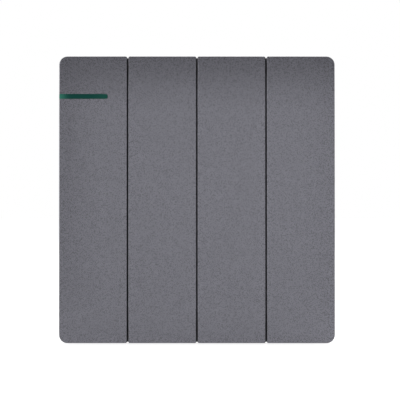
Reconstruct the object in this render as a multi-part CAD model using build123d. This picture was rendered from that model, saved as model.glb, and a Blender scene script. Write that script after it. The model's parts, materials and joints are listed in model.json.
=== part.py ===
from build123d import *
import math
import os

# One-way light switch with four full-height rockers.
# X runs across the face, Z runs up, and the wall plane is Y = 0 with the room on the -Y side.
# The origin is the middle of the mounting bracket's back face.

# Rest side of each rocker, from the left: -1 is off (top pressed in), 1 is on (bottom pressed in)
GANG_STATES = (-1, -1, -1, -1)
GANG_COUNT = len(GANG_STATES)

# Rocker faces
FACE_WIDTH = 86.5
FACE_HEIGHT = 90.0
FACE_STAND = 10.0
GANG_GAP = 0.4
FACE_WALL = 1.6
SKIRT_DEPTH = 3.2
SKIRT_WALL = 1.5
GAP_SKIRT_DEPTH = 2.0
GAP_SKIRT_WALL = 1.2
FACE_CORNER_RADIUS = 2.6
GAP_CORNER_RADIUS = 0.5
FACE_EDGE_RADIUS = 0.22
END_CROWN_LENGTH = 16.0
END_CROWN_DROP = 0.5
SIDE_CROWN_LENGTH = 11.0
SIDE_CROWN_DROP = 0.25
CROWN_OVERRUN = 1.0
CAP_RIB_WALL = 1.0
CAP_RIB_HEIGHT = 1.4
CAP_RIB_PITCH = 9.0
CAP_RIB_FIRST = 17.0
CAP_RIB_ROWS = 3

# Clips that hold a cap on its carrier
CLIP_WIDTH = 2.4
CLIP_WALL = 1.4
CLIP_BARB = 0.3
CLIP_BARB_HEIGHT = 0.7
CLIP_SPREAD_X = 4.6
CLIP_SPREAD_Z = 9.5
CLIP_CLEARANCE = 0.1

# Green locator strip in the first rocker
LOCATOR_LENGTH = 15.2
LOCATOR_WIDTH = 1.5
LOCATOR_DEPTH = 1.0
LOCATOR_BELOW_TOP = 12.6
LOCATOR_END_RADIUS = 0.6
LOCATOR_CLEARANCE = 0.03

# Stack of plates from the wall to the room
BRACKET_THICKNESS = 1.2
FLANGE_THICKNESS = 1.2
COVER_THICKNESS = 1.6
PLATE_CORNER_RADIUS = 3.0

# Mounting bracket
BRACKET_SIDE_INSET = 3.25
BRACKET_END_INSET = 5.0
BRACKET_OPENING_CLEARANCE = 0.3
FIXING_CENTRES = 60.3
FIXING_SLOT_LENGTH = 6.6
FIXING_SLOT_WIDTH = 4.2
BEAD_HEIGHT = 0.7
BEAD_SHARE = 0.45
BEAD_RECESS_SHARE = 0.28
END_BEAD_LENGTH = 46.0
SIDE_BEAD_LENGTH = 16.0
SIDE_BEAD_Z = 16.0
QUARTER_TURN = 90

# Front frame
FRAME_INSET = 0.25
FRAME_STAND = 4.8
FRAME_WALL = 2.75
FRAME_CORNER_RADIUS = 2.2
FRAME_EDGE_RADIUS = 0.4
FRAME_LIP_WIDTH = 3.8
FRAME_LIP_THICKNESS = 1.4
WEB_STAND = 3.4
WEB_THICKNESS = 1.2
WEB_CLEARANCE = 0.1
WEB_HOLE_RADIUS = 4.5
BAFFLE_INSET = 2.1
BAFFLE_WALL = 1.2
BAFFLE_STAND = 6.6
PRY_NOTCH_WIDTH = 9.0
PRY_NOTCH_HEIGHT = 1.5
PRY_NOTCH_DEPTH = 1.2
PEG_RADIUS = 1.2
PEG_CLEARANCE = 0.05
PEG_EDGE_MARGIN = 1.9
PEG_SPREAD_Z = 25.0

# Rocker carriers and their bearings
ROCKER_TILT = 1.5
MECHANISM_PITCH = 12.2
PIVOT_AHEAD_OF_COVER = 0.8
HUB_WIDTH = 9.0
HUB_HEIGHT = 6.4
HUB_GAP = 0.3
PIN_RADIUS = 1.1
PIN_LENGTH = 1.2
BEARING_CLEARANCE = 0.05
EAR_WALL = 1.3
EAR_HEIGHT = 4.4
EAR_RIM = 0.35
EAR_SLOT_WIDTH = 1.9
WINDOW_CLEARANCE = 0.6
CARRIER_PLATE_THICKNESS = 1.8
CARRIER_PLATE_REACH = 6.6
CARRIER_PLATE_HEIGHT = 24.0
CARRIER_EDGE_GAP = 0.5
ARM_HEIGHT = 10.0
ARM_DROP = 0.4
ARM_FOOT = 2.1
ARM_WINDOW_GAP = 0.4
DRIVER_HOLE_RADIUS = 4.2

# Spring plungers
TUBE_RADIUS = 3.0
TUBE_LENGTH = 7.5
TUBE_BORE_RADIUS = 1.9
TUBE_BORE_AHEAD_OF_PIVOT = 0.2
PLUNGER_RADIUS = 1.8
PLUNGER_LENGTH = 6.8
PLUNGER_TIP_RADIUS = 1.0
PLUNGER_TIP_LENGTH = 2.2
PLUNGER_TIP_GAP = 0.05
SPRING_LENGTH = 4.8
SPRING_RADIUS = 1.4
SPRING_WIRE = 0.45
SPRING_TURNS = 3.5

# See-saw blades and contacts
CONTACT_RATIO = 6.5
BLADE_LENGTH = 20.0
BLADE_WIDTH = 7.0
BLADE_THICKNESS = 0.8
BLADE_CORNER_RADIUS = 1.5
KNIFE_EDGE_RADIUS = 0.5
KNIFE_EDGE_GAP = 0.05
RIVET_RADIUS = 1.3
RIVET_HEIGHT = 0.8
RIVET_EDGE_RADIUS = 0.25
RIVET_OFFSET = 8.5
CONTACT_GAP_CLOSED = 0.03
STRIP_WIDTH = 6.0
STRIP_THICKNESS = 0.8
STRIP_INNER_MARGIN = 0.6
STRIP_CLEARANCE = 0.05
STOP_WIDTH = 6.8
STOP_HEIGHT = 3.0
STOP_GAP = 0.05

# Line bar
BAR_THICKNESS = 0.8
BAR_HEIGHT = 6.0
BAR_TAIL_WIDTH = 5.0
BAR_CLEARANCE = 0.2
BAR_SLOT_ENTRY = 1.4

# Terminals
TERMINAL_WIDTH = 8.0
TERMINAL_HEIGHT = 7.6
TERMINAL_DEPTH = 10.0
TERMINAL_CLEARANCE = 0.2
TERMINAL_EDGE_RADIUS = 0.4
STRIP_SLOT_DEPTH = 1.4
WIRE_BORE_RADIUS = 1.8
WIRE_BORE_DEPTH = 8.5
WIRE_BORE_RISE = 3.9
WIRE_ENTRY_RADIUS = 2.3
WIRE_FUNNEL_RADIUS = 3.0
WIRE_FUNNEL_DEPTH = 1.0
CLAMP_SCREW_RADIUS = 1.6
CLAMP_SCREW_CLEARANCE = 0.05
CLAMP_SCREW_BACK_OFF = 0.1
CLAMP_SCREW_FROM_BACK = 5.0
CLAMP_HEAD_RADIUS = 2.6
CLAMP_HEAD_HEIGHT = 1.6
CLAMP_HEAD_HOLE_GAP = 0.3
DRIVE_SLOT_WIDTH = 0.7
DRIVE_SLOT_DEPTH = 0.8

# Housing
HOUSING_SIDE_WALL = 1.2
HOUSING_END_WALL = 2.3
HOUSING_DEPTH = 20.0
HOUSING_CORNER_RADIUS = 2.0
HOUSING_EDGE_RADIUS = 1.0
REAR_WALL = 2.0
FLANGE_SIDE_REACH = 0.8
FLANGE_END_REACH = 5.0
COMPARTMENT_WIDTH = 11.0
COMPARTMENT_HEIGHT = 31.0
MECHANISM_FLOOR = 15.0
BAY_WALL = 1.2
CORE_WALL = 1.4
CORE_DEPTH = 16.0

# Cover screws
COVER_SCREW_RADIUS = 1.25
COVER_SCREW_CLEARANCE = 0.05
COVER_SCREW_HEAD_RADIUS = 2.4
COVER_SCREW_HEAD_HEIGHT = 1.15
COVER_SCREW_END_GAP = 0.1
COVER_SCREW_SIDE_MARGIN = 4.8
COVER_SCREW_END_MARGIN = 2.5

# Widths and centres that follow from the sizes above
ROCKER_WIDTH = (FACE_WIDTH - (GANG_COUNT - 1) * GANG_GAP) / GANG_COUNT
ROCKER_PITCH = ROCKER_WIDTH + GANG_GAP
MIDDLE_GANG = (GANG_COUNT - 1) / 2
BRACKET_WIDTH = FACE_WIDTH - 2 * BRACKET_SIDE_INSET
BRACKET_HEIGHT = FACE_HEIGHT - 2 * BRACKET_END_INSET

# Depths along Y that follow from the sizes above
FACE_Y = -FACE_STAND
CEILING_Y = FACE_Y + FACE_WALL
SKIRT_Y = FACE_Y + SKIRT_DEPTH
GAP_SKIRT_Y = FACE_Y + GAP_SKIRT_DEPTH
BRACKET_Y = -BRACKET_THICKNESS
FLANGE_Y = BRACKET_Y - FLANGE_THICKNESS
COVER_Y = FLANGE_Y - COVER_THICKNESS
PIVOT_Y = COVER_Y - PIVOT_AHEAD_OF_COVER
PLATE_BACK_Y = CEILING_Y + CARRIER_PLATE_THICKNESS
ARM_Y = PLATE_BACK_Y + ARM_DROP
HUB_BACK_Y = COVER_Y - HUB_GAP
BORE_Y = PIVOT_Y - TUBE_BORE_AHEAD_OF_PIVOT
TUBE_END_Y = BORE_Y + TUBE_LENGTH
PLUNGER_BACK_Y = BORE_Y + SPRING_LENGTH
PLUNGER_TIP_Y = PLUNGER_BACK_Y + PLUNGER_LENGTH
BAR_Y = MECHANISM_FLOOR - BAR_THICKNESS
BAY_FLOOR_Y = HOUSING_DEPTH - REAR_WALL
TERMINAL_Y = BAY_FLOOR_Y - TERMINAL_DEPTH
CLAMP_SCREW_Y = BAY_FLOOR_Y - CLAMP_SCREW_FROM_BACK

# Blade pivot: the plunger tip clears the blade by its gap at both ends of the travel
BLADE_TILT = ROCKER_TILT * CONTACT_RATIO
TILT_SIN = math.sin(math.radians(BLADE_TILT))
TILT_COS = math.cos(math.radians(BLADE_TILT))
TIP_SWING = PLUNGER_TIP_Y - PLUNGER_TIP_RADIUS - PIVOT_Y
TIP_SHIFT = TIP_SWING * math.sin(math.radians(ROCKER_TILT))
TIP_REACH = TIP_SWING * math.cos(math.radians(ROCKER_TILT))
TIP_STAND = BLADE_THICKNESS + PLUNGER_TIP_RADIUS + PLUNGER_TIP_GAP
BLADE_PIVOT_Y = PIVOT_Y + TIP_REACH + (TIP_STAND - TIP_SHIFT * TILT_SIN) / TILT_COS

# Fixed contacts and stops, placed where the tilted blade meets them
FIXED_FACE_Y = (
    BLADE_PIVOT_Y
    + RIVET_HEIGHT * TILT_COS
    + (RIVET_OFFSET + RIVET_RADIUS) * TILT_SIN
    + CONTACT_GAP_CLOSED
)
FIXED_RIVET_Z = RIVET_OFFSET * TILT_COS - RIVET_HEIGHT * TILT_SIN
STRIP_Y = FIXED_FACE_Y + RIVET_HEIGHT
LEDGE_Y = STRIP_Y + STRIP_THICKNESS
STOP_Y = BLADE_PIVOT_Y + BLADE_LENGTH / 2 * TILT_SIN + STOP_GAP

# Heights along Z that follow from the sizes above
BAY_Z = COMPARTMENT_HEIGHT / 2 + BAY_WALL
TERMINAL_Z = BAY_Z + TERMINAL_CLEARANCE
TERMINAL_TOP_Z = TERMINAL_Z + TERMINAL_HEIGHT
BAY_TOP_Z = TERMINAL_TOP_Z + TERMINAL_CLEARANCE
WIRE_Z = TERMINAL_Z + WIRE_BORE_RISE
STRIP_END_Z = TERMINAL_Z + STRIP_SLOT_DEPTH - STRIP_CLEARANCE
STRIP_START_Z = FIXED_RIVET_Z - RIVET_RADIUS - STRIP_INNER_MARGIN

# Housing outline, which follows from its compartments and terminals
HOUSING_WIDTH = (GANG_COUNT - 1) * MECHANISM_PITCH + COMPARTMENT_WIDTH + 2 * HOUSING_SIDE_WALL
HOUSING_HEIGHT = 2 * (BAY_TOP_Z + HOUSING_END_WALL)
FLANGE_WIDTH = HOUSING_WIDTH + 2 * FLANGE_SIDE_REACH
FLANGE_HEIGHT = HOUSING_HEIGHT + 2 * FLANGE_END_REACH
COVER_SCREW_X = FLANGE_WIDTH / 2 - COVER_SCREW_SIDE_MARGIN
COVER_SCREW_Z = FLANGE_HEIGHT / 2 - COVER_SCREW_END_MARGIN
CLAMP_HEAD_Z = HOUSING_HEIGHT / 2 - CLAMP_HEAD_HEIGHT

ROCKER_AXIS = Axis((0, PIVOT_Y, 0), (1, 0, 0))
BLADE_AXIS = Axis((0, BLADE_PIVOT_Y, 0), (1, 0, 0))


def cap_x(gang):
    """Middle of a rocker cap."""
    return (gang - MIDDLE_GANG) * ROCKER_PITCH


def mechanism_x(gang):
    """Middle of a switching compartment."""
    return (gang - MIDDLE_GANG) * MECHANISM_PITCH


def outward(gang):
    """Side of the face that a gang lies on."""
    return math.copysign(1, gang - MIDDLE_GANG)


def is_end_gang(gang):
    return gang in (0, GANG_COUNT - 1)


def block(x0, x1, y0, y1, z0, z1):
    """Box between two corners, given in any order along each axis."""
    size = (abs(x1 - x0), abs(y1 - y0), abs(z1 - z0))
    return Pos((x0 + x1) / 2, (y0 + y1) / 2, (z0 + z1) / 2) * Box(*size)


def plate(width, height, radius, y0, y1):
    """Rounded rectangle facing the room, between two depths."""
    outline = RectangleRounded(width, height, radius)
    return Pos(0, y1, 0) * extrude(Plane.XZ * outline, y1 - y0)


def rod_x(radius, x0, x1, y, z):
    length = abs(x1 - x0)
    return Pos((x0 + x1) / 2, y, z) * Rot(0, 90, 0) * Cylinder(radius, length)


def rod_y(radius, y0, y1, x, z):
    length = abs(y1 - y0)
    return Pos(x, (y0 + y1) / 2, z) * Rot(90, 0, 0) * Cylinder(radius, length)


def rod_z(radius, z0, z1, x, y):
    return Pos(x, y, (z0 + z1) / 2) * Cylinder(radius, abs(z1 - z0))


def cone_y(radius0, radius1, y0, y1, x, z):
    """Cone whose radius runs from radius0 at y0 to radius1 at y1, with y1 the greater."""
    return Pos(x, (y0 + y1) / 2, z) * Rot(-90, 0, 0) * Cone(radius0, radius1, y1 - y0)


def tilted(shape, gang):
    """A rocker piece at its gang's rest side."""
    return shape.rotate(ROCKER_AXIS, GANG_STATES[gang] * ROCKER_TILT)


def seesawed(shape, gang):
    """A blade piece at its gang's rest side."""
    return shape.rotate(BLADE_AXIS, -GANG_STATES[gang] * BLADE_TILT)


def crown_radius(length, drop):
    """Radius of an arc that starts level and eases back by a drop over a length."""
    return (length**2 + drop**2) / (2 * drop)


def cap_section(gang):
    """Section across a cap, past its outline all round, eased back on the side that ends the face."""
    reach = ROCKER_WIDTH / 2 + CROWN_OVERRUN
    back = SKIRT_Y + CROWN_OVERRUN
    side = outward(gang)
    inner = (-side * reach, FACE_Y)
    walls = [(side * reach, back), (-side * reach, back), inner]
    if not is_end_gang(gang):
        return make_face(Polyline(inner, (side * reach, FACE_Y), *walls))
    radius = crown_radius(SIDE_CROWN_LENGTH, SIDE_CROWN_DROP)
    turn = math.asin((SIDE_CROWN_LENGTH + CROWN_OVERRUN) / radius)
    start = ROCKER_WIDTH / 2 - SIDE_CROWN_LENGTH
    arc_points = []
    for angle in (0, turn / 2, turn):
        x = start + radius * math.sin(angle)
        arc_points.append((side * x, FACE_Y + radius * (1 - math.cos(angle))))
    return make_face(ThreePointArc(*arc_points) + Polyline(arc_points[-1], *walls, arc_points[0]))


def crowned_body(gang):
    """Body with a cap's front surface: straight in the middle, turned back in an arc at the ends."""
    section = cap_section(gang)
    straight = FACE_HEIGHT / 2 - END_CROWN_LENGTH
    radius = crown_radius(END_CROWN_LENGTH, END_CROWN_DROP)
    turn = math.degrees(math.asin((END_CROWN_LENGTH + CROWN_OVERRUN) / radius))
    body = extrude(section, straight, both=True)
    for side in (-1, 1):
        z = side * straight
        axis = Axis((0, FACE_Y + radius, z), (-side, 0, 0))
        body += revolve(Pos(0, 0, z) * section, axis, turn)
    return body


def outline_edges(faces):
    """Edges that bound a group of faces, without the seams between them."""
    edges = [edge for face in faces for edge in face.edges()]
    return [edge for edge in edges if sum(edge.is_same(other) for other in edges) == 1]


def cap_outline(gang):
    """Front outline of a cap, with the larger corner radius where it ends the face."""
    outline = Rectangle(ROCKER_WIDTH, FACE_HEIGHT)
    for side in (-1, 1):
        ends_face = is_end_gang(gang) and side == outward(gang)
        radius = FACE_CORNER_RADIUS if ends_face else GAP_CORNER_RADIUS
        corners = outline.vertices().group_by(Axis.X)[0 if side < 0 else -1]
        outline = fillet(corners, radius)
    return outline


def cap_blank(gang):
    """Outer body of a cap, crowned top and bottom and on the side that ends the face."""
    column = extrude(Plane.XZ * cap_outline(gang), SKIRT_DEPTH + CROWN_OVERRUN)
    blank = crowned_body(gang) & Pos(0, SKIRT_Y, 0) * column
    front = blank.faces().filter_by(lambda face: face.normal_at().Y < -math.cos(math.pi / 4))
    blank = fillet(outline_edges(front), FACE_EDGE_RADIUS)
    return Pos(cap_x(gang), 0, 0) * blank


def cap_walls(gang):
    """X of the inner faces of a cap's left and right walls."""
    walls = []
    for side in (-1, 1):
        ends_face = is_end_gang(gang) and side == outward(gang)
        wall = SKIRT_WALL if ends_face else GAP_SKIRT_WALL
        walls.append(cap_x(gang) + side * (ROCKER_WIDTH / 2 - wall))
    return walls


def clip_centres(gang):
    for side_x in (-1, 1):
        for side_z in (-1, 1):
            yield cap_x(gang) + side_x * CLIP_SPREAD_X, side_z * CLIP_SPREAD_Z, side_z


def cap_clip(x, z, side):
    """Hook that springs through the carrier plate and catches its back."""
    catch_y = PLATE_BACK_Y + CLIP_CLEARANCE / 2
    end_y = PLATE_BACK_Y + CLIP_BARB_HEIGHT
    inner_z = z - side * CLIP_WALL / 2
    outer_z = z + side * CLIP_WALL / 2
    outline = Polyline(
        (x, CEILING_Y, inner_z),
        (x, CEILING_Y, outer_z),
        (x, catch_y, outer_z),
        (x, catch_y, outer_z + side * CLIP_BARB),
        (x, end_y, outer_z - side * CLIP_BARB),
        (x, end_y, inner_z),
        close=True,
    )
    return extrude(make_face(outline), CLIP_WIDTH / 2, dir=(1, 0, 0), both=True)


def rocker_cap(gang):
    """Painted tray: face wall, deep skirts round the outside and shallow ones at the gaps."""
    left, right = cap_walls(gang)
    hollow_z = FACE_HEIGHT / 2 - SKIRT_WALL
    cap = cap_blank(gang) - block(left, right, CEILING_Y, SKIRT_Y, -hollow_z, hollow_z)
    rib_ends = [left, right]
    for index, side in enumerate((-1, 1)):
        edge = cap_x(gang) + side * ROCKER_WIDTH / 2
        if is_end_gang(gang) and side == outward(gang):
            rib_ends[index] = edge - side * (BAFFLE_INSET + BAFFLE_WALL + CARRIER_EDGE_GAP)
        else:
            cap -= block((left, right)[index], edge, GAP_SKIRT_Y, SKIRT_Y, -hollow_z, hollow_z)
    for row in range(CAP_RIB_ROWS):
        for side in (-1, 1):
            z = side * (CAP_RIB_FIRST + row * CAP_RIB_PITCH)
            rib_y = CEILING_Y + CAP_RIB_HEIGHT
            cap += block(*rib_ends, CEILING_Y, rib_y, z - CAP_RIB_WALL / 2, z + CAP_RIB_WALL / 2)
    for x, z, side in clip_centres(gang):
        cap += cap_clip(x, z, side)
    return cap


def locator_zone(clearance):
    """Space of the locator strip, open at the left side of the face."""
    left = -FACE_WIDTH / 2
    z = FACE_HEIGHT / 2 - LOCATOR_BELOW_TOP
    half = LOCATOR_WIDTH / 2 + clearance
    right = left + LOCATOR_LENGTH + clearance
    front = FACE_Y - LOCATOR_DEPTH
    back = FACE_Y + LOCATOR_DEPTH
    zone = block(left - LOCATOR_DEPTH, right, front, back, z - half, z + half)
    return fillet(zone.edges().filter_by(Axis.Y).group_by(Axis.X)[-1], LOCATOR_END_RADIUS)


def ear_span(gang, side):
    """X of the inner and outer face of a bearing ear that lies beyond the last gang of a side."""
    inner = mechanism_x(gang) + side * (HUB_WIDTH / 2 + HUB_GAP)
    return inner, inner + side * EAR_WALL


def rocker_carrier(gang):
    """Plate that the cap clips to, on a hub with two pins and a spring tube."""
    side = outward(gang)
    x = mechanism_x(gang)
    near = cap_x(gang) - side * (ROCKER_WIDTH / 2 - GAP_SKIRT_WALL - CARRIER_EDGE_GAP)
    far = cap_x(gang) + side * CARRIER_PLATE_REACH
    half_plate = CARRIER_PLATE_HEIGHT / 2
    carrier = block(near, far, CEILING_Y, PLATE_BACK_Y, -half_plate, half_plate)
    carrier = fillet(carrier.edges().filter_by(Axis.Y), CLIP_WALL)
    if is_end_gang(gang):
        half_arm = ARM_HEIGHT / 2
        foot = near + side * ARM_FOOT
        carrier += block(near, foot, PLATE_BACK_Y, HUB_BACK_Y, -half_arm, half_arm)
        carrier += block(x - side * HUB_WIDTH / 2, foot, ARM_Y, HUB_BACK_Y, -half_arm, half_arm)
        window_end = ear_span(gang, side)[1] + side * ARM_WINDOW_GAP
        half_window = EAR_HEIGHT / 2 + ARM_WINDOW_GAP
        window_start = x + side * HUB_WIDTH / 2
        carrier -= block(window_start, window_end, PLATE_BACK_Y, HUB_BACK_Y, -half_window, half_window)
        carrier -= rod_y(DRIVER_HOLE_RADIUS, CEILING_Y, HUB_BACK_Y, side * FIXING_CENTRES / 2, 0)
    else:
        half_hub = HUB_WIDTH / 2
        rise = HUB_HEIGHT / 2
        carrier += block(x - half_hub, x + half_hub, PLATE_BACK_Y, HUB_BACK_Y, -rise, rise)
    pin_reach = HUB_WIDTH / 2 + PIN_LENGTH
    carrier += rod_x(PIN_RADIUS, x - pin_reach, x + pin_reach, PIVOT_Y, 0)
    carrier += rod_y(TUBE_RADIUS, ARM_Y, TUBE_END_Y, x, 0)
    carrier -= rod_y(TUBE_BORE_RADIUS, BORE_Y, TUBE_END_Y, x, 0)
    for clip_x, clip_z, _ in clip_centres(gang):
        half_x = CLIP_WIDTH / 2 + CLIP_CLEARANCE
        half_z = CLIP_WALL / 2 + CLIP_CLEARANCE
        slot = block(-half_x, half_x, CEILING_Y, PLATE_BACK_Y, -half_z, half_z)
        carrier -= Pos(clip_x, 0, clip_z) * slot
    return carrier


def plunger(gang):
    """Turned plunger: full round in the tube, necked to a ball tip."""
    shoulder_y = PLUNGER_TIP_Y - PLUNGER_TIP_LENGTH
    neck_y = shoulder_y + PLUNGER_RADIUS - PLUNGER_TIP_RADIUS
    ball_y = PLUNGER_TIP_Y - PLUNGER_TIP_RADIUS
    sides = Polyline(
        (PLUNGER_TIP_RADIUS, ball_y),
        (PLUNGER_TIP_RADIUS, neck_y),
        (PLUNGER_RADIUS, shoulder_y),
        (PLUNGER_RADIUS, PLUNGER_BACK_Y),
        (0, PLUNGER_BACK_Y),
        (0, PLUNGER_TIP_Y),
    )
    slope = PLUNGER_TIP_RADIUS * math.sin(math.pi / 4)
    ball = ThreePointArc((0, PLUNGER_TIP_Y), (slope, ball_y + slope), (PLUNGER_TIP_RADIUS, ball_y))
    return Pos(mechanism_x(gang), 0, 0) * revolve(make_face(sides + ball), Axis.Y)


def plunger_spring(gang):
    """Square-wire compression spring between the bore's end and the plunger."""
    rise = SPRING_LENGTH - SPRING_WIRE
    start = (mechanism_x(gang), BORE_Y + SPRING_WIRE / 2, 0)
    path = Helix(rise / SPRING_TURNS, rise, SPRING_RADIUS, center=start, direction=(0, 1, 0))
    radial = path @ 0 - Vector(*start)
    section = Plane(path @ 0, x_dir=radial, z_dir=path % 0) * Rectangle(SPRING_WIRE, SPRING_WIRE)
    return sweep(section, path, is_frenet=True)


def moving_contact(gang):
    """See-saw blade with a groove that rides on the line bar's round edge."""
    front = BLADE_PIVOT_Y - BLADE_THICKNESS
    blade = plate(BLADE_WIDTH, BLADE_LENGTH, BLADE_CORNER_RADIUS, front, BLADE_PIVOT_Y)
    groove = KNIFE_EDGE_RADIUS + KNIFE_EDGE_GAP
    blade -= rod_x(groove, -BLADE_WIDTH, BLADE_WIDTH, BLADE_PIVOT_Y, 0)
    return Pos(mechanism_x(gang), 0, 0) * blade


def contact_rivet(gang, base_y, face_y, z):
    """Silver rivet head from its base to its rounded contact face."""
    head = rod_y(RIVET_RADIUS, base_y, face_y, mechanism_x(gang), z)
    faces = head.faces().filter_by(Axis.Y).sort_by(Axis.Y)
    face = faces[-1] if face_y > base_y else faces[0]
    return fillet(face.edges(), RIVET_EDGE_RADIUS)


def fixed_contact(gang):
    """Brass strip from under the fixed rivet to the load terminal."""
    x = mechanism_x(gang)
    half = STRIP_WIDTH / 2
    strip = block(x - half, x + half, STRIP_Y, LEDGE_Y, STRIP_START_Z, STRIP_END_Z)
    return fillet(strip.edges().filter_by(Axis.Y), STRIP_THICKNESS)


def line_bar():
    """Brass bar with an upright knife edge for each blade and a tail to the line terminal."""
    half_edge = BLADE_WIDTH / 2
    first = mechanism_x(0) - half_edge
    last = mechanism_x(GANG_COUNT - 1) + half_edge
    half_tail = BAR_TAIL_WIDTH / 2
    tail_z = -(TERMINAL_Z + BAR_SLOT_ENTRY - STRIP_CLEARANCE)
    bar = block(first, last, BAR_Y, MECHANISM_FLOOR, -BAR_HEIGHT / 2, BAR_HEIGHT / 2)
    bar += block(-half_tail, half_tail, BAR_Y, MECHANISM_FLOOR, tail_z, 0)
    for gang in range(GANG_COUNT):
        x = mechanism_x(gang)
        edge = KNIFE_EDGE_RADIUS
        bar += block(x - half_edge, x + half_edge, BLADE_PIVOT_Y, BAR_Y, -edge, edge)
        bar += rod_x(edge, x - half_edge, x + half_edge, BLADE_PIVOT_Y, 0)
    return bar


def terminal(slot_width, slot_y, slot_back_y, slot_depth):
    """Brass block with a blind wire bore, a clamp screw hole and a slot for its strip."""
    half = TERMINAL_WIDTH / 2
    body = block(-half, half, TERMINAL_Y, BAY_FLOOR_Y, TERMINAL_Z, TERMINAL_TOP_Z)
    body = fillet(body.edges().filter_by(Axis.Y), TERMINAL_EDGE_RADIUS)
    half_slot = slot_width / 2 + STRIP_CLEARANCE
    slot_back = slot_back_y + STRIP_CLEARANCE
    slot_top = TERMINAL_Z + slot_depth
    body -= block(-half_slot, half_slot, slot_y - STRIP_CLEARANCE, slot_back, TERMINAL_Z, slot_top)
    body -= rod_y(WIRE_BORE_RADIUS, BAY_FLOOR_Y - WIRE_BORE_DEPTH, BAY_FLOOR_Y, 0, WIRE_Z)
    hole = CLAMP_SCREW_RADIUS + CLAMP_SCREW_CLEARANCE
    return body - rod_z(hole, WIRE_Z, TERMINAL_TOP_Z, 0, CLAMP_SCREW_Y)


def clamp_screw():
    """Slotted screw backed off clear of the wire bore."""
    tip_z = WIRE_Z + WIRE_BORE_RADIUS + CLAMP_SCREW_BACK_OFF
    head_top = CLAMP_HEAD_Z + CLAMP_HEAD_HEIGHT
    screw = rod_z(CLAMP_SCREW_RADIUS, tip_z, CLAMP_HEAD_Z, 0, CLAMP_SCREW_Y)
    screw += rod_z(CLAMP_HEAD_RADIUS, CLAMP_HEAD_Z, head_top, 0, CLAMP_SCREW_Y)
    half = DRIVE_SLOT_WIDTH / 2
    slot = block(-CLAMP_HEAD_RADIUS, CLAMP_HEAD_RADIUS, -half, half, head_top - DRIVE_SLOT_DEPTH, head_top)
    return screw - Pos(0, CLAMP_SCREW_Y, 0) * slot


def at_line_terminal(shape):
    """A terminal piece turned over to the bottom of the housing."""
    return shape.rotate(Axis.Y, 180)


def terminal_bay():
    """Space of a terminal in the housing, with its wire entry and screw hole."""
    half = TERMINAL_WIDTH / 2 + TERMINAL_CLEARANCE
    bay = block(-half, half, FLANGE_Y, BAY_FLOOR_Y, BAY_Z, BAY_TOP_Z)
    bay += rod_y(WIRE_ENTRY_RADIUS, BAY_FLOOR_Y, HOUSING_DEPTH, 0, WIRE_Z)
    funnel_y = HOUSING_DEPTH - WIRE_FUNNEL_DEPTH
    bay += cone_y(WIRE_ENTRY_RADIUS, WIRE_FUNNEL_RADIUS, funnel_y, HOUSING_DEPTH, 0, WIRE_Z)
    head_hole = CLAMP_HEAD_RADIUS + CLAMP_HEAD_HOLE_GAP
    return bay + rod_z(head_hole, BAY_TOP_Z, HOUSING_HEIGHT / 2, 0, CLAMP_SCREW_Y)


def cover_screw_centres():
    for side_x in (-1, 1):
        for side_z in (-1, 1):
            yield side_x * COVER_SCREW_X, side_z * COVER_SCREW_Z


def compartment(gang):
    """Space of one switching mechanism, with a ledge left under its fixed strip."""
    x = mechanism_x(gang)
    half = COMPARTMENT_WIDTH / 2
    top = COMPARTMENT_HEIGHT / 2
    space = block(x - half, x + half, FLANGE_Y, MECHANISM_FLOOR, -top, STRIP_START_Z)
    space += block(x - half, x + half, FLANGE_Y, LEDGE_Y, STRIP_START_Z, top)
    half_slot = STRIP_WIDTH / 2 + BAR_CLEARANCE
    return space + block(x - half_slot, x + half_slot, FLANGE_Y, LEDGE_Y, top, BAY_Z)


def blade_stop(gang):
    """Ledge that the open blade rests on."""
    x = mechanism_x(gang)
    half = STOP_WIDTH / 2
    top = (STOP_HEIGHT - BLADE_LENGTH) / 2
    return block(x - half, x + half, STOP_Y, MECHANISM_FLOOR, top - STOP_HEIGHT, top)


def core_outs():
    """Pockets that thin the moulding on both sides of the line terminal."""
    inner = TERMINAL_WIDTH / 2 + TERMINAL_CLEARANCE + CORE_WALL
    outer = HOUSING_WIDTH / 2 - CORE_WALL
    length = (outer - inner - CORE_WALL) / 2
    low = -HOUSING_HEIGHT / 2 + CORE_WALL
    for side in (-1, 1):
        for start in (inner, outer - length):
            yield block(side * start, side * (start + length), FLANGE_Y, CORE_DEPTH, low, -BAY_Z)


def switch_housing():
    """Moulded box behind the wall plane, with a flange that lies on the bracket."""
    housing = plate(HOUSING_WIDTH, HOUSING_HEIGHT, HOUSING_CORNER_RADIUS, FLANGE_Y, HOUSING_DEPTH)
    housing = fillet(housing.faces().sort_by(Axis.Y)[-1].edges(), HOUSING_EDGE_RADIUS)
    housing += plate(FLANGE_WIDTH, FLANGE_HEIGHT, HOUSING_CORNER_RADIUS, FLANGE_Y, BRACKET_Y)
    for gang in range(GANG_COUNT):
        housing -= compartment(gang)
        housing -= Pos(mechanism_x(gang), 0, 0) * terminal_bay()
    housing -= at_line_terminal(terminal_bay())
    half_tail = BAR_TAIL_WIDTH / 2 + BAR_CLEARANCE
    housing -= block(-half_tail, half_tail, FLANGE_Y, MECHANISM_FLOOR, -BAY_Z, 0)
    half_bar = BAR_HEIGHT / 2 + BAR_CLEARANCE
    first, last = mechanism_x(0), mechanism_x(GANG_COUNT - 1)
    housing -= block(first, last, FLANGE_Y, MECHANISM_FLOOR, -half_bar, half_bar)
    for pocket in core_outs():
        housing -= pocket
    for gang in range(GANG_COUNT):
        housing += blade_stop(gang)
    for x, z in cover_screw_centres():
        housing -= rod_y(COVER_SCREW_RADIUS + COVER_SCREW_CLEARANCE, FLANGE_Y, BRACKET_Y, x, z)
    return housing


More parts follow.
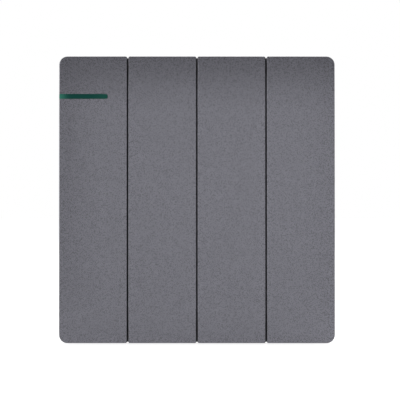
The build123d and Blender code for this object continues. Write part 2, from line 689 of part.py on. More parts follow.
def bearing_ears():
    """Snap bearings in front of the cover: one at each end, and one between each two gangs."""
    front = PIVOT_Y - PIN_RADIUS - BEARING_CLEARANCE - EAR_RIM
    half = EAR_HEIGHT / 2
    reach = HUB_WIDTH / 2 + HUB_GAP
    spans = [ear_span(0, -1), ear_span(GANG_COUNT - 1, 1)]
    for gang in range(GANG_COUNT - 1):
        spans.append((mechanism_x(gang) + reach, mechanism_x(gang + 1) - reach))
    for inner, outer in spans:
        ear = block(inner, outer, front, COVER_Y, -half, half)
        ear = fillet(ear.edges().filter_by(Axis.X).group_by(Axis.Y)[0], PIN_RADIUS)
        yield ear


def housing_cover():
    """Plate that closes the housing, with a window and bearings for each carrier."""
    cover = plate(FLANGE_WIDTH, FLANGE_HEIGHT, HOUSING_CORNER_RADIUS, COVER_Y, FLANGE_Y)
    reach = HUB_WIDTH / 2 + HUB_GAP
    half_window = TUBE_RADIUS + WINDOW_CLEARANCE
    for gang in range(GANG_COUNT):
        x = mechanism_x(gang)
        cover -= block(x - reach, x + reach, COVER_Y, FLANGE_Y, -half_window, half_window)
    for ear in bearing_ears():
        cover += ear
    span = FLANGE_WIDTH / 2
    bearing = PIN_RADIUS + BEARING_CLEARANCE
    cover -= rod_x(bearing, -span, span, PIVOT_Y, 0)
    half_slot = EAR_SLOT_WIDTH / 2
    cover -= block(-span, span, PIVOT_Y - bearing - EAR_RIM, PIVOT_Y, -half_slot, half_slot)
    for x, z in cover_screw_centres():
        hole = COVER_SCREW_RADIUS + COVER_SCREW_CLEARANCE
        cover -= rod_y(hole, COVER_Y, FLANGE_Y, x, z)
        sink_y = COVER_Y + COVER_SCREW_HEAD_HEIGHT
        cover -= cone_y(COVER_SCREW_HEAD_RADIUS + COVER_SCREW_CLEARANCE, hole, COVER_Y, sink_y, x, z)
    return cover


def cover_screw():
    """Countersunk slotted screw through the cover, the flange and the bracket."""
    sink_y = COVER_Y + COVER_SCREW_HEAD_HEIGHT
    screw = cone_y(COVER_SCREW_HEAD_RADIUS, COVER_SCREW_RADIUS, COVER_Y, sink_y, 0, 0)
    screw += rod_y(COVER_SCREW_RADIUS, sink_y, -COVER_SCREW_END_GAP, 0, 0)
    half = DRIVE_SLOT_WIDTH / 2
    reach = COVER_SCREW_HEAD_RADIUS
    return screw - block(-reach, reach, COVER_Y, COVER_Y + DRIVE_SLOT_DEPTH, -half, half)


def peg_centres():
    for side_x in (-1, 1):
        for side_z in (-1, 1):
            yield side_x * (BRACKET_WIDTH / 2 - PEG_EDGE_MARGIN), side_z * PEG_SPREAD_Z


def bead_places():
    """Place, turn, length and free room of each stiffening bead, between the flange and the frame's lip."""
    lip = FRAME_INSET + FRAME_WALL + FRAME_LIP_WIDTH
    side_room = (FACE_WIDTH - FLANGE_WIDTH) / 2 - lip
    end_room = (FACE_HEIGHT - FLANGE_HEIGHT) / 2 - lip
    for side in (-1, 1):
        yield Pos(0, 0, side * (FLANGE_HEIGHT + end_room) / 2), 0, END_BEAD_LENGTH, end_room
        x = side * (FLANGE_WIDTH + side_room) / 2
        for z in (-SIDE_BEAD_Z, SIDE_BEAD_Z):
            yield Pos(x, 0, z), QUARTER_TURN, SIDE_BEAD_LENGTH, side_room


def bead(length, width, turn):
    """Round-ended bar that stands on the wall plane."""
    return extrude(Plane.XZ * Rot(0, 0, turn) * SlotOverall(length, width), BEAD_HEIGHT)


def mounting_bracket():
    """Steel plate with the box fixing slots, the housing opening and pressed stiffening beads."""
    bracket = plate(BRACKET_WIDTH, BRACKET_HEIGHT, PLATE_CORNER_RADIUS, BRACKET_Y, 0)
    opening_width = HOUSING_WIDTH + 2 * BRACKET_OPENING_CLEARANCE
    opening_height = HOUSING_HEIGHT + 2 * BRACKET_OPENING_CLEARANCE
    opening_radius = HOUSING_CORNER_RADIUS + BRACKET_OPENING_CLEARANCE
    bracket -= plate(opening_width, opening_height, opening_radius, BRACKET_Y, 0)
    slot = extrude(Plane.XZ * SlotOverall(FIXING_SLOT_LENGTH, FIXING_SLOT_WIDTH), BRACKET_THICKNESS)
    for side in (-1, 1):
        bracket -= Pos(side * FIXING_CENTRES / 2, 0, 0) * slot
    for x, z in cover_screw_centres():
        bracket -= rod_y(COVER_SCREW_RADIUS + COVER_SCREW_CLEARANCE, BRACKET_Y, 0, x, z)
    for x, z in peg_centres():
        bracket -= rod_y(PEG_RADIUS + PEG_CLEARANCE, BRACKET_Y, 0, x, z)
    for place, turn, length, room in bead_places():
        bracket += Pos(0, BRACKET_Y, 0) * place * bead(length, BEAD_SHARE * room, turn)
        inner = length - (BEAD_SHARE - BEAD_RECESS_SHARE) * room
        bracket -= place * bead(inner, BEAD_RECESS_SHARE * room, turn)
    return bracket


def ring(inset, wall, y0, y1):
    """Rim that follows the face outline at an inset."""
    width = FACE_WIDTH - 2 * inset
    height = FACE_HEIGHT - 2 * inset
    outer = plate(width, height, FRAME_CORNER_RADIUS, y0, y1)
    inner_radius = max(FRAME_CORNER_RADIUS - wall, FRAME_CORNER_RADIUS / 2)
    return outer - plate(width - 2 * wall, height - 2 * wall, inner_radius, y0, y1)


def frame_web():
    """Wall that hides the bracket, open round the cover and in front of the fixing slots."""
    inset = FRAME_INSET + FRAME_WALL / 2
    depths = (-WEB_STAND, WEB_THICKNESS - WEB_STAND)
    web = plate(FACE_WIDTH - 2 * inset, FACE_HEIGHT - 2 * inset, FRAME_WALL, *depths)
    opening_width = FLANGE_WIDTH + 2 * WEB_CLEARANCE
    opening_height = FLANGE_HEIGHT + 2 * WEB_CLEARANCE
    web -= plate(opening_width, opening_height, HOUSING_CORNER_RADIUS, *depths)
    for side in (-1, 1):
        web -= rod_y(WEB_HOLE_RADIUS, *depths, side * FIXING_CENTRES / 2, 0)
    return web


def front_frame():
    """Tray behind the rockers: rim, light baffle inside their skirts, lip on the bracket and web."""
    lip_y = BRACKET_Y - FRAME_LIP_THICKNESS
    frame = ring(FRAME_INSET, FRAME_WALL, -FRAME_STAND, 0)
    outer_rim = frame.faces().sort_by(Axis.Y)[0].outer_wire().edges()
    frame = fillet(outer_rim, FRAME_EDGE_RADIUS)
    foot = FRAME_INSET - FACE_HEIGHT / 2
    half_notch = PRY_NOTCH_WIDTH / 2
    frame -= block(-half_notch, half_notch, -PRY_NOTCH_HEIGHT, 0, foot, foot + PRY_NOTCH_DEPTH)
    frame += ring(BAFFLE_INSET, BAFFLE_WALL, -BAFFLE_STAND, lip_y)
    frame += ring(BAFFLE_INSET, FRAME_INSET + FRAME_WALL - BAFFLE_INSET + FRAME_LIP_WIDTH, lip_y, BRACKET_Y)
    frame += frame_web()
    for x, z in peg_centres():
        frame += rod_y(PEG_RADIUS, BRACKET_Y, -COVER_SCREW_END_GAP, x, z)
    return frame


def all_nodes():
    """Every piece of the switch by name, at its rest side."""
    nodes = {}
    load_terminal = terminal(STRIP_WIDTH, STRIP_Y, LEDGE_Y, STRIP_SLOT_DEPTH)
    line_terminal = at_line_terminal(terminal(BAR_TAIL_WIDTH, BAR_Y, MECHANISM_FLOOR, BAR_SLOT_ENTRY))
    clamp_screws = [at_line_terminal(clamp_screw())]
    rivet_back_y = BLADE_PIVOT_Y + RIVET_HEIGHT
    for gang in range(GANG_COUNT):
        number = gang + 1
        cap = rocker_cap(gang)
        if gang == 0:
            strip = cap_blank(gang) & locator_zone(0)
            nodes["locator_strip"] = tilted(strip, gang)
            cap -= locator_zone(LOCATOR_CLEARANCE)
        nodes[f"rocker_cap_{number}"] = tilted(cap, gang)
        nodes[f"rocker_carrier_{number}"] = tilted(rocker_carrier(gang), gang)
        nodes[f"plunger_{number}"] = tilted(plunger(gang), gang)
        nodes[f"plunger_spring_{number}"] = tilted(plunger_spring(gang), gang)
        nodes[f"moving_contact_{number}"] = seesawed(moving_contact(gang), gang)
        moving_rivet = contact_rivet(gang, BLADE_PIVOT_Y, rivet_back_y, RIVET_OFFSET)
        nodes[f"moving_rivet_{number}"] = seesawed(moving_rivet, gang)
        nodes[f"fixed_contact_{number}"] = fixed_contact(gang)
        nodes[f"fixed_rivet_{number}"] = contact_rivet(gang, STRIP_Y, FIXED_FACE_Y, FIXED_RIVET_Z)
        nodes[f"load_terminal_{number}"] = Pos(mechanism_x(gang), 0, 0) * load_terminal
        clamp_screws.append(Pos(mechanism_x(gang), 0, 0) * clamp_screw())
    nodes["line_terminal"] = line_terminal
    nodes["clamp_screws"] = Compound(children=clamp_screws)
    nodes["line_bar"] = line_bar()
    nodes["switch_housing"] = switch_housing()
    nodes["housing_cover"] = housing_cover()
    screws = [Pos(x, 0, z) * cover_screw() for x, z in cover_screw_centres()]
    nodes["cover_screws"] = Compound(children=screws)
    nodes["mounting_bracket"] = mounting_bracket()
    nodes["front_frame"] = front_frame()
    return nodes


def main():
    os.makedirs("parts", exist_ok=True)
    for name, shape in all_nodes().items():
        export_step(shape, f"parts/{name}.step")


if __name__ == "__main__":
    main()
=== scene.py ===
"""Finishes, fine pieces and studio for a four gang rocker switch.

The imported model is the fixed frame: its nodes keep their shape and place and get their finishes here.
Coil springs and threaded screws stand in for their plain nodes, and the housing gets raised terminal marks.
"""

import json
import math

import bmesh
import bpy
from mathutils import Matrix, Vector


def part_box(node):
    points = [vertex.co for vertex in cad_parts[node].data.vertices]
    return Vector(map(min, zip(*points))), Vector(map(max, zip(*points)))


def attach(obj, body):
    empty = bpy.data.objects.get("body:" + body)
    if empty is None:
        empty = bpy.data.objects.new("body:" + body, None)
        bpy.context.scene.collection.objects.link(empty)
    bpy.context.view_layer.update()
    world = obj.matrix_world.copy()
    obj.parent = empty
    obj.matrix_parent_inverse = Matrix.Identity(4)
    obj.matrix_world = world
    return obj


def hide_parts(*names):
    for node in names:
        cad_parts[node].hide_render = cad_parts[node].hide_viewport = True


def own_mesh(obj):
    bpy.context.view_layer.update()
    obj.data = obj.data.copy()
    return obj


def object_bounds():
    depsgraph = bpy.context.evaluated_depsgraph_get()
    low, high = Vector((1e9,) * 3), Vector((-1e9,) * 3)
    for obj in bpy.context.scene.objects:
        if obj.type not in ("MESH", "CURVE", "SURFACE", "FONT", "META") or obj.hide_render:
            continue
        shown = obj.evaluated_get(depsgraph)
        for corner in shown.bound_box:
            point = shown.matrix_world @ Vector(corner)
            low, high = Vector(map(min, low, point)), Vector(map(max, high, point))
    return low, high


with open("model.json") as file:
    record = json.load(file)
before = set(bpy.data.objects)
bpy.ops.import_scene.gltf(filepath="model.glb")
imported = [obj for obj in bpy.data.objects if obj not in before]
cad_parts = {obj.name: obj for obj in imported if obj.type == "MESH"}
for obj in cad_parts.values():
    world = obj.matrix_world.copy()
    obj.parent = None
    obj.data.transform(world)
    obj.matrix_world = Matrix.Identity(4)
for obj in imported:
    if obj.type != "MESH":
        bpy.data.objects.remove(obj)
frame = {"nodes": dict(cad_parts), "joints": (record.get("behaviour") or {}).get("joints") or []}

CAD_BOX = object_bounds()

bl_info = {
    "name": "Rocker switch finishes",
    "version": (1, 0, 0),
    "blender": (4, 5, 0),
    "location": "View3D > Sidebar > Switch",
    "description": "Finishes, fine pieces and studio for a four gang rocker switch",
    "category": "Object",
}

GANGS = range(1, 5)
NODES = frame["nodes"]
JOINTS = {joint["name"]: joint for joint in frame["joints"]}
MM = 0.001
FULL_TURN = 2 * math.pi
MERGE_DISTANCE = 1e-7
WHITE = (1.0, 1.0, 1.0, 1.0)


# Shader maths


class Value:
    """A shader socket that Python's operators turn into Math nodes."""

    def __init__(self, finish, socket):
        self.finish = finish
        self.socket = socket

    def _with(self, operation, *values):
        return self.finish.node("ShaderNodeMath", {"operation": operation}, dict(enumerate(values)))

    def __add__(self, other):
        return self._with("ADD", self, other)

    __radd__ = __add__

    def __sub__(self, other):
        return self._with("SUBTRACT", self, other)

    def __rsub__(self, other):
        return self._with("SUBTRACT", other, self)

    def __mul__(self, other):
        return self._with("MULTIPLY", self, other)

    __rmul__ = __mul__

    def __pow__(self, other):
        return self._with("POWER", self, other)

    def __abs__(self):
        return self._with("ABSOLUTE", self)

    def sine(self):
        return self._with("SINE", self)

    def larger(self, other):
        return self._with("MAXIMUM", self, other)

    def over(self, edge):
        """1 where the value is above an edge, else 0."""
        return self._with("GREATER_THAN", self, edge)

    def swing(self, amount):
        """Turns a value from 0 to 1 into a change of an amount, half of it down and half up."""
        return (self - 0.5) * amount

    def between(self, low, high):
        """0 at low, 1 at high, eased and held beyond them."""
        sockets = {"Value": self, "From Min": low, "From Max": high}
        return self.finish.node("ShaderNodeMapRange", {"interpolation_type": "SMOOTHSTEP"}, sockets)


class Finish:
    """A node tree with one method that adds nodes."""

    def __init__(self, tree):
        self.tree = tree

    def node(self, kind, settings=None, sockets=None, output=0):
        made = self.tree.nodes.new(kind)
        for name, setting in (settings or {}).items():
            if name == "stops":
                self._set_stops(made.color_ramp, setting)
            else:
                setattr(made, name, setting)
        for key, value in (sockets or {}).items():
            self.feed(made.inputs[key], value)
        return None if output is None else Value(self, made.outputs[output])

    def _set_stops(self, ramp, stops):
        while len(ramp.elements) < len(stops):
            ramp.elements.new(1)
        for element, (position, colour) in zip(ramp.elements, stops):
            element.position = position
            element.color = colour

    def feed(self, socket, value):
        if isinstance(value, Value):
            self.tree.links.new(value.socket, socket)
        else:
            socket.default_value = value

    def axes(self, vector):
        split = self.node("ShaderNodeSeparateXYZ", None, {0: vector})
        return [Value(self, output) for output in split.socket.node.outputs]


class Surface(Finish):
    """A material on one Principled shader, with the patterns that several finishes share."""

    def __init__(self, name, **sockets):
        self.material = bpy.data.materials.new(name)
        self.material.use_nodes = True
        super().__init__(self.material.node_tree)
        self.shader = self.tree.nodes["Principled BSDF"]
        for key, value in sockets.items():
            self.set(key.replace("_", " "), value)

    def set(self, socket, value):
        self.feed(self.shader.inputs[socket], value)

    def place(self):
        """Where a point lies on the object, in metres."""
        return self.node("ShaderNodeTexCoord", output="Object")

    def facing(self):
        """The direction that a point of the object faces."""
        return self.node("ShaderNodeTexCoord", output="Normal")

    def stretched(self, scale):
        """Place for a pattern that is drawn out along the axes whose scale is small."""
        return self.node("ShaderNodeMapping", None, {"Vector": self.place(), "Scale": scale})

    def noise(self, size, detail=2.0, place=None):
        """Soft grain whose lumps are about a size in metres, from 0 to 1."""
        sockets = {"Vector": place or self.place(), "Scale": 1 / size, "Detail": detail}
        return self.node("ShaderNodeTexNoise", None, sockets)

    def flakes(self, size):
        """One random grey from 0 to 1 for each cell of about a size in metres."""
        sockets = {"Vector": self.place(), "Scale": 1 / size}
        cells = self.node("ShaderNodeTexVoronoi", None, sockets, "Color")
        return self.node("ShaderNodeSeparateColor", None, {0: cells})

    def mix(self, factor, first, second):
        settings = {"data_type": "RGBA", "blend_type": "MIX"}
        return self.node("ShaderNodeMix", settings, {0: factor, 6: first, 7: second}, 2)

    def shade(self, colour, factor):
        """A colour made lighter or darker by a factor that changes over the surface."""
        grey = self.node("ShaderNodeCombineColor", None, {0: factor, 1: factor, 2: factor})
        settings = {"data_type": "RGBA", "blend_type": "MULTIPLY"}
        return self.node("ShaderNodeMix", settings, {0: 1.0, 6: colour, 7: grey}, 2)

    def bump(self, height, depth):
        self.set("Normal", self.node("ShaderNodeBump", None, {"Height": height, "Distance": depth}))


def rgba(colour):
    return (*colour, 1.0)


# Settings


def colour_property(name, description, default):
    return bpy.props.FloatVectorProperty(
        name=name, description=description, subtype="COLOR", size=3, min=0, max=1, default=default
    )


def length_property(name, description, default):
    return bpy.props.FloatProperty(
        name=name,
        description=description,
        default=default,
        min=0,
        subtype="DISTANCE",
        unit="LENGTH",
        precision=5,
    )


def share_property(name, description, default):
    return bpy.props.FloatProperty(
        name=name, description=description, default=default, min=0, subtype="FACTOR"
    )


class SwitchColours(bpy.types.PropertyGroup):
    paint: colour_property("Paint", "Metallic grey lacquer of the caps", (0.1835, 0.1824, 0.2097))
    # The bare moulding colour also stands in as painted shade deep in the gaps between the caps.
    raw_cap: colour_property("Bare moulding", "Unpainted plastic inside the caps", (0.030, 0.030, 0.033))
    rim: colour_property("Frame", "Grey plastic of the front frame", (0.115, 0.114, 0.126))
    works: colour_property("Works", "Charcoal plastic of the carriers and cover", (0.020, 0.020, 0.023))
    lens_dark: colour_property("Locator", "Green along the locator strip", (0.001, 0.064, 0.050))
    lens_bright: colour_property("Locator end", "Green at the strip's lit end", (0.038, 0.207, 0.152))
    nylon: colour_property("Nylon", "Natural white of the plungers", (0.78, 0.75, 0.66))
    housing: colour_property("Housing", "Light grey plastic of the housing", (0.62, 0.62, 0.60))
    brass: colour_property("Brass", "Rolled brass of the terminals and contacts", (0.80, 0.56, 0.24))
    silver: colour_property("Silver", "Silver alloy of the contact rivets", (0.82, 0.80, 0.76))
    spring: colour_property("Spring wire", "Drawn steel of the springs", (0.44, 0.43, 0.41))
    zinc: colour_property("Zinc", "Plating of the clamp screws", (0.62, 0.63, 0.64))
    zinc_blue: colour_property("Zinc, blue", "Zinc where its film is thin", (0.50, 0.55, 0.62))
    zinc_straw: colour_property("Zinc, straw", "Zinc where its film is thick", (0.66, 0.61, 0.48))
    black_zinc: colour_property("Black zinc", "Plating of the cover screws", (0.030, 0.031, 0.034))
    galvanised: colour_property("Galvanised steel", "Coating of the bracket", (0.58, 0.60, 0.61))


class SwitchDetails(bpy.types.PropertyGroup):
    # These two depths set where the painted shade on a gap's sides begins and where it is full.
    paint_full: length_property("Full paint", "How deep the sides of a gap are fully painted", 0.05 * MM)
    paint_end: length_property("End of paint", "Depth in a gap at which the paint ends", 0.36 * MM)
    wire: length_property("Spring wire", "Thickness of the spring wire", 0.45 * MM)
    coil: length_property("Spring coil", "Radius of a spring to the middle of its wire", 1.4 * MM)
    thread_pitch: length_property("Thread pitch", "Rise of a screw thread in one turn", 0.5 * MM)
    thread_depth: length_property("Thread depth", "Depth of a screw thread", 0.28 * MM)
    mark_height: length_property("Mark height", "Height of the raised terminal marks", 3.2 * MM)
    mark_relief: length_property("Mark relief", "How far the marks stand out", 0.32 * MM)
    gauge_length: length_property("Strip gauge", "Length of the wire stripping gauge", 9.0 * MM)


class SwitchStage(bpy.types.PropertyGroup):
    distance: length_property("Camera distance", "From the camera to the rocker faces", 900 * MM)
    view_width: length_property("View width", "Width of the picture at the rocker faces", 125.31 * MM)
    floor: colour_property("Floor", "Colour of the studio floor", (0.62, 0.62, 0.62))
    floor_lift: share_property("Floor lift", "What the floor shows on top of its light", 0.83)
    ambient: share_property("Room light", "Light from all round", 0.29)
    dim: share_property("Dim room", "What gloss shows of the room in front", 0.03)
    left: share_property("Left light", "Share of the light from the left", 0.26)
    right: share_property("Right light", "Share of the light from the right", 0.02)
    rear: share_property("Rear light", "Share of the light from behind", 0.40)
    panel: share_property("Front panel", "Brightness of the low panel behind the camera", 2.02)


# Finishes


def colours():
    return bpy.context.scene.switch_colours


def painted_face():
    """Satin metallic lacquer with a fine flake. The caps are bare inside, and painted shade darkens them
    deep in the gaps.
    """
    made = Surface("grey_paint", Specular_IOR_Level=0.32)
    grain = made.noise(size=0.75 * MM, detail=2.5)
    flake = made.flakes(size=0.19 * MM)
    cloud = made.noise(size=16 * MM, detail=1.0)
    tone = 1 + grain.swing(0.06) + flake.swing(0.58) + cloud.swing(0.03)
    # Dark plastic inside the caps, and painted shade down the sides of the gaps.
    bare = unpainted(made)
    lacquer = made.shade(rgba(colours().paint), tone)
    plastic = made.shade(rgba(colours().raw_cap), 1 + grain.swing(0.3))
    made.set("Base Color", made.mix(bare, lacquer, plastic))
    made.set("Metallic", 0.55 * (1 - bare))
    made.set("Roughness", 0.28 + flake.swing(0.03) + 0.25 * bare)
    made.bump(made.noise(size=0.30 * MM, detail=1.0), depth=0.0025 * MM)
    return made.material


def unpainted(made):
    """1 where a cap is dark: bare moulding on its wall side, and painted shade on sides that lie deep in a
    gap.
    """
    details = bpy.context.scene.switch_details
    side_cosine = 0.5
    outer_margin = 1 * MM
    across, inward, _ = made.axes(made.facing())
    x, y, z = made.axes(made.place())
    lean = math.tan(math.radians(JOINTS["rocker_1_tilt"]["range_deg"][1] / 2))
    face = reach_along("rocker_cap_1", Vector(), Vector((0, 1, -lean)))[0]
    # Painted shade: the sides of a gap darken with depth below the face.
    deep = (y - z * lean - face).between(details.paint_full, details.paint_end)
    outer = abs(x).over(CAD_BOX[1].x - outer_margin)
    gap_side_shade = abs(across).over(side_cosine) * (1 - outer)
    return inward.over(side_cosine).larger(gap_side_shade * deep)


def locator_lens():
    """Tinted clear plastic, lighter where light enters at the side and a little at its far end."""
    made = Surface("green_lens", Specular_IOR_Level=0.12)
    lit_share, far_share, far_glow = 0.3, 0.6, 0.18
    along = made.axes(made.place())[0]
    left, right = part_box("locator_strip")
    lit = left.x + lit_share * (right.x - left.x)
    far = left.x + far_share * (right.x - left.x)
    glow = (1 - along.between(left.x, lit)) ** 2 + far_glow * along.between(far, right.x)
    streak = made.noise(size=1.2 * MM, place=made.stretched((0.25, 1, 1)))
    green = made.mix(glow, rgba(colours().lens_dark), rgba(colours().lens_bright))
    made.set("Base Color", made.shade(green, 0.85 + 0.3 * streak))
    made.set("Roughness", 0.34 + 0.12 * streak)
    made.bump(streak, depth=0.003 * MM)
    return made.material


def moulded(name, colour, roughness, grain_size, grain_depth):
    """Moulded plastic with a spark-eroded grain and a little flow shading."""
    made = Surface(name, Specular_IOR_Level=0.4)
    grain = made.noise(grain_size, detail=3.0)
    flow = made.noise(size=9 * MM, detail=1.5, place=made.stretched((1, 1, 0.4)))
    made.set("Base Color", made.shade(rgba(colour), 0.90 + 0.12 * flow + 0.08 * grain))
    made.set("Roughness", roughness + grain.swing(0.12))
    made.bump(grain, grain_depth)
    return made.material


def turned_nylon():
    """Natural nylon with faint turning rings."""
    made = Surface(
        "white_nylon", Specular_IOR_Level=0.45, Subsurface_Weight=0.15, Subsurface_Scale=0.6 * MM
    )
    ring_pitch = 0.18 * MM
    depth = made.axes(made.place())[1]
    rings = (depth * (FULL_TURN / ring_pitch)).sine()
    haze = made.noise(size=0.8 * MM)
    made.set("Base Color", made.shade(rgba(colours().nylon), 0.92 + 0.12 * haze))
    made.set("Roughness", 0.38 + 0.1 * haze)
    made.bump(rings, depth=0.002 * MM)
    return made.material


def rolled_brass():
    """Brass strip and bar with rolling lines along the length and a little tarnish."""
    made = Surface("brass", Metallic=1.0)
    lines = made.noise(size=0.16 * MM, place=made.stretched((1, 1, 0.06)))
    tarnish = made.noise(size=2.4 * MM, detail=3.0).between(0.45, 0.75)
    dull = [channel * 0.55 for channel in colours().brass]
    bright = made.shade(rgba(colours().brass), 0.88 + 0.2 * lines)
    made.set("Base Color", made.mix(tarnish * 0.5, bright, rgba(dull)))
    made.set("Roughness", 0.22 + 0.14 * lines + 0.2 * tarnish)
    made.bump(lines, depth=0.004 * MM)
    return made.material


def struck_silver():
    """Silver alloy with a fine struck texture and grey sulphide bloom."""
    made = Surface("silver", Metallic=1.0)
    bloom = made.noise(size=0.7 * MM, detail=3.0).between(0.5, 0.8)
    pits = made.noise(size=0.09 * MM, detail=1.0)
    dull = [channel * 0.5 for channel in colours().silver]
    made.set("Base Color", made.mix(bloom * 0.45, rgba(colours().silver), rgba(dull)))
    made.set("Roughness", 0.20 + 0.18 * pits + 0.12 * bloom)
    made.bump(pits, depth=0.003 * MM)
    return made.material


def drawn_steel():
    """Spring wire with drawing lines round the coil."""
    made = Surface("spring_steel", Metallic=1.0)
    lines = made.noise(size=0.07 * MM, place=made.stretched((1, 0.3, 1)))
    made.set("Base Color", made.shade(rgba(colours().spring), 0.82 + 0.3 * lines))
    made.set("Roughness", 0.26 + 0.16 * lines)
    made.bump(lines, depth=0.002 * MM)
    return made.material


def zinc_plate():
    """Bright zinc with a thin blue and straw passivation and dull specks."""
    made = Surface("screw_steel", Metallic=1.0)
    film = made.noise(size=1.1 * MM)
    specks = made.noise(size=0.12 * MM)
    tints = (
        (0.35, rgba(colours().zinc_blue)),
        (0.5, rgba(colours().zinc)),
        (0.68, rgba(colours().zinc_straw)),
    )
    tint = made.node("ShaderNodeValToRGB", {"stops": tints}, {"Fac": film})
    made.set("Base Color", made.shade(tint, 0.86 + 0.24 * specks))
    made.set("Roughness", 0.24 + 0.2 * specks)
    made.bump(specks, depth=0.003 * MM)
    return made.material


def black_plate():
    """Zinc plating with a black passivation that is thin in places."""
    made = Surface("black_screw_steel", Metallic=1.0)
    specks = made.noise(size=0.12 * MM)
    thin = made.noise(size=0.6 * MM, detail=3.0).between(0.55, 0.8)
    dark = made.shade(rgba(colours().black_zinc), 0.8 + 0.4 * specks)
    made.set("Base Color", made.mix(thin * 0.15, dark, rgba(colours().zinc)))
    made.set("Roughness", 0.34 + 0.2 * specks)
    made.bump(specks, depth=0.003 * MM)
    return made.material


def galvanised_sheet():
    """Galvanised sheet steel: spangle of the zinc, rolling lines and a few dull stains."""
    made = Surface("bracket_steel", Metallic=1.0)
    spangle = made.flakes(size=3.2 * MM)
    lines = made.noise(size=0.22 * MM, place=made.stretched((1, 1, 0.05)))
    stain = made.noise(size=11 * MM, detail=3.0).between(0.52, 0.8)
    tone = 0.80 + 0.16 * spangle + 0.14 * lines - 0.16 * stain
    made.set("Base Color", made.shade(rgba(colours().galvanised), tone))
    made.set("Roughness", 0.30 + 0.14 * spangle + 0.10 * lines + 0.12 * stain)
    made.bump(lines + 0.4 * spangle, depth=0.004 * MM)
    return made.material


def give(material, *names):
    """Puts a finish on CAD nodes."""
    for name in names:
        slots = NODES[name].data.materials
        slots.clear()
        slots.append(material)


def numbered(*stems):
    """Names of the nodes that every gang has one of."""
    return [f"{stem}_{gang}" for stem in stems for gang in GANGS]


# New pieces


def add(name, data):
    """Puts an object into the scene."""
    made = bpy.data.objects.new(name, data)
    bpy.context.scene.collection.objects.link(made)
    return made


def as_mesh(name, bm):
    """Mesh of a bmesh, which stays open."""
    mesh = bpy.data.meshes.new(name)
    bm.to_mesh(mesh)
    return mesh


def evaluated_mesh(made):
    """Mesh of an object with its modifiers or its curve worked out."""
    return bpy.data.meshes.new_from_object(made.evaluated_get(bpy.context.evaluated_depsgraph_get()))


def piece(name, bm, material, body):
    """Makes a bmesh into a piece that rides on a body."""
    bmesh.ops.remove_doubles(bm, verts=bm.verts, dist=MERGE_DISTANCE)
    bmesh.ops.recalc_face_normals(bm, faces=bm.faces)
    made = add(name, as_mesh(name, bm))
    bm.free()
    made.data.materials.append(material)
    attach(made, body)
    return made


def smooth_by_angle(made, degrees):
    """Rounds the shading of a piece, apart from edges sharper than an angle."""
    made.data.shade_smooth()
    made.data.set_sharp_from_angle(angle=math.radians(degrees))


def frame_along(origin, direction):
    """Matrix that puts Z along a direction at an origin."""
    turn = Vector(direction).to_track_quat("Z", "Y").to_matrix().to_4x4()
    return Matrix.Translation(origin) @ turn


def reach_along(node, origin, direction):
    """Nearest and farthest reach of a node's points along a direction."""
    reach = [(vertex.co - origin).dot(direction) for vertex in NODES[node].data.vertices]
    return min(reach), max(reach)


def wind(bm, geometry, turns, rise, steps, closed=False):
    """Spins edges round Z while they rise, and gives the geometry at the end."""
    wound = bmesh.ops.spin(
        bm,
        geom=geometry,
        cent=(0, 0, 0),
        axis=(0, 0, 1),
        dvec=(0, 0, rise / steps),
        angle=turns * FULL_TURN,
        steps=steps,
        use_merge=closed,
        use_duplicate=False,
    )
    return wound["geom_last"]


def close_end(bm, geometry):
    """Fills the loop of edges at the end of a wound shape."""
    loop = [part for part in geometry if isinstance(part, bmesh.types.BMEdge)]
    bmesh.ops.contextual_create(bm, geom=loop)


def coil(bm, radius, wire, stages, steps_per_turn=28, sides=10):
    """Round wire wound up Z. Each stage is a number of turns and their rise, and the ends are closed."""
    place = Matrix.Translation((radius, 0, 0)) @ Matrix.Rotation(math.pi / 2, 4, "X")
    ring = bmesh.ops.create_circle(bm, cap_ends=True, segments=sides, radius=wire / 2, matrix=place)
    edges = dict.fromkeys(edge for vert in ring["verts"] for edge in vert.link_edges)
    geometry = ring["verts"] + list(edges)
    for turns, rise in stages:
        geometry = wind(bm, geometry, turns, rise, round(turns * steps_per_turn))
    close_end(bm, geometry)


def turned(bm, profile, steps=40):
    """Solid of revolution about Z from a (radius, height) profile that starts and ends on the axis."""
    verts = [bm.verts.new((radius, 0, height)) for radius, height in profile]
    edges = [bm.edges.new(pair) for pair in zip(verts, verts[1:])]
    wind(bm, verts + edges, 1, 0, steps, closed=True)
    bmesh.ops.remove_doubles(bm, verts=bm.verts, dist=MERGE_DISTANCE)


def threaded(bm, core, crest, pitch, start, length, steps_per_turn=28):
    """Ridge of a screw thread wound round a core, from a start height down Z."""
    foot = 0.9 * pitch
    section = ((core, start), (crest, start - foot / 2), (core, start - foot))
    ridge = [bm.verts.new((radius, 0, height)) for radius, height in section]
    edges = [bm.edges.new(pair) for pair in zip(ridge, ridge[1:] + ridge[:1])]
    bm.faces.new(ridge)
    turns = (length - pitch) / pitch
    end = wind(bm, ridge + edges, turns, -turns * pitch, round(turns * steps_per_turn))
    close_end(bm, end)


def slotted(bm, width, depth, top, reach):
    """Cuts a driver slot along X across a head whose top is at a height."""
    tool = bmesh.new()
    size = Matrix.Diagonal((2 * reach, width, 2 * depth, 1))
    bmesh.ops.create_cube(tool, size=1, matrix=Matrix.Translation((0, 0, top)) @ size)
    head, slot = add("head", as_mesh("head", bm)), add("slot", as_mesh("slot", tool))
    tool.free()
    cut = head.modifiers.new("slot", "BOOLEAN")
    cut.operation = "DIFFERENCE"
    cut.solver = "EXACT"
    cut.object = slot
    result = evaluated_mesh(head)
    bm.clear()
    bm.from_mesh(result)
    meshes = (head.data, slot.data, result)
    for helper in (head, slot):
        bpy.data.objects.remove(helper)
    for mesh in meshes:
        bpy.data.meshes.remove(mesh)


def spread(bm, places):
    """Copies of a shape at each place, in a new bmesh."""
    copies = bmesh.new()
    shape = as_mesh("shape", bm)
    for place in places:
        start = len(copies.verts)
        copies.from_mesh(shape)
        copies.verts.ensure_lookup_table()
        bmesh.ops.transform(copies, matrix=place, verts=copies.verts[start:])
    bpy.data.meshes.remove(shape)
    bm.free()
    return copies


